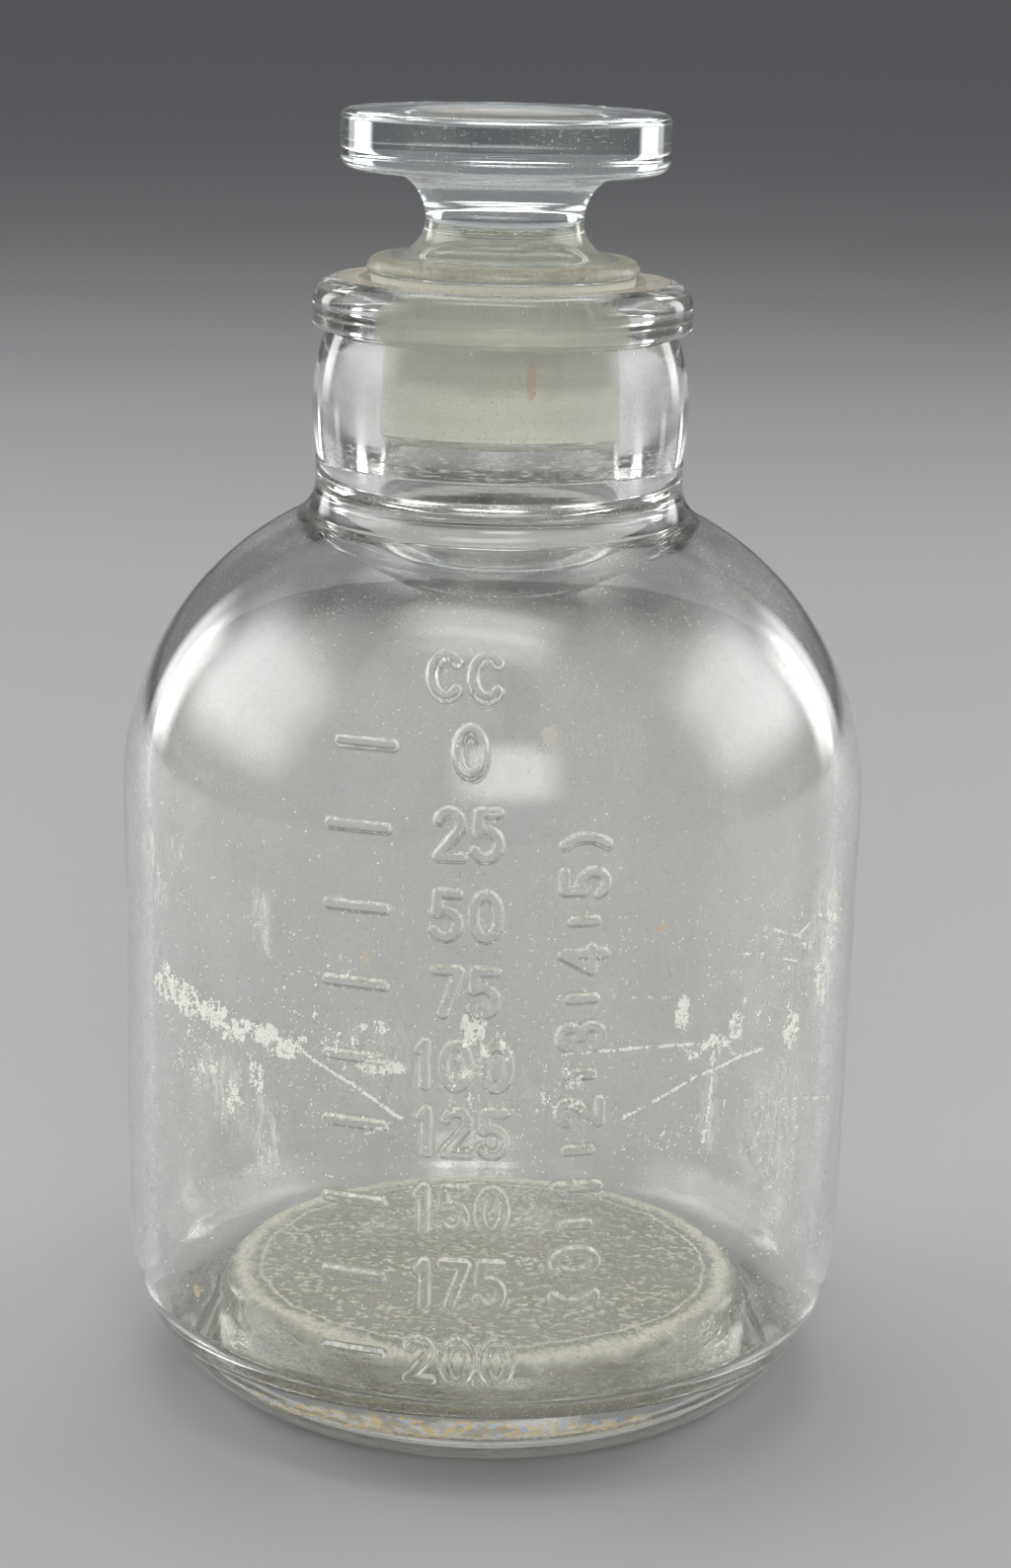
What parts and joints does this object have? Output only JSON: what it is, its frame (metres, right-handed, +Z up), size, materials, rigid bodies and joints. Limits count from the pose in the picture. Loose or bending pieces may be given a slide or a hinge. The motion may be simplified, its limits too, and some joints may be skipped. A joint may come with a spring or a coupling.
{
  "type": "apothecary bottle",
  "caption": "Round glass bottle with a domed shoulder, short neck, graduated front and flat-headed ground glass stopper.",
  "frame": {"origin": "centre of the base, on the surface that the bottle stands on", "axes": "+Z up along the bottle's axis, -Y towards the graduated front"},
  "size_m": [0.072, 0.072, 0.125],
  "materials": {
    "bottle_glass": "clear pressed glass, ground in the neck",
    "stopper_glass": "clear pressed glass, ground on the plug"
  },
  "bodies": {
    "root": {"bottle": "bottle_glass", "stopper": "stopper_glass"}
  },
  "joints": []
}
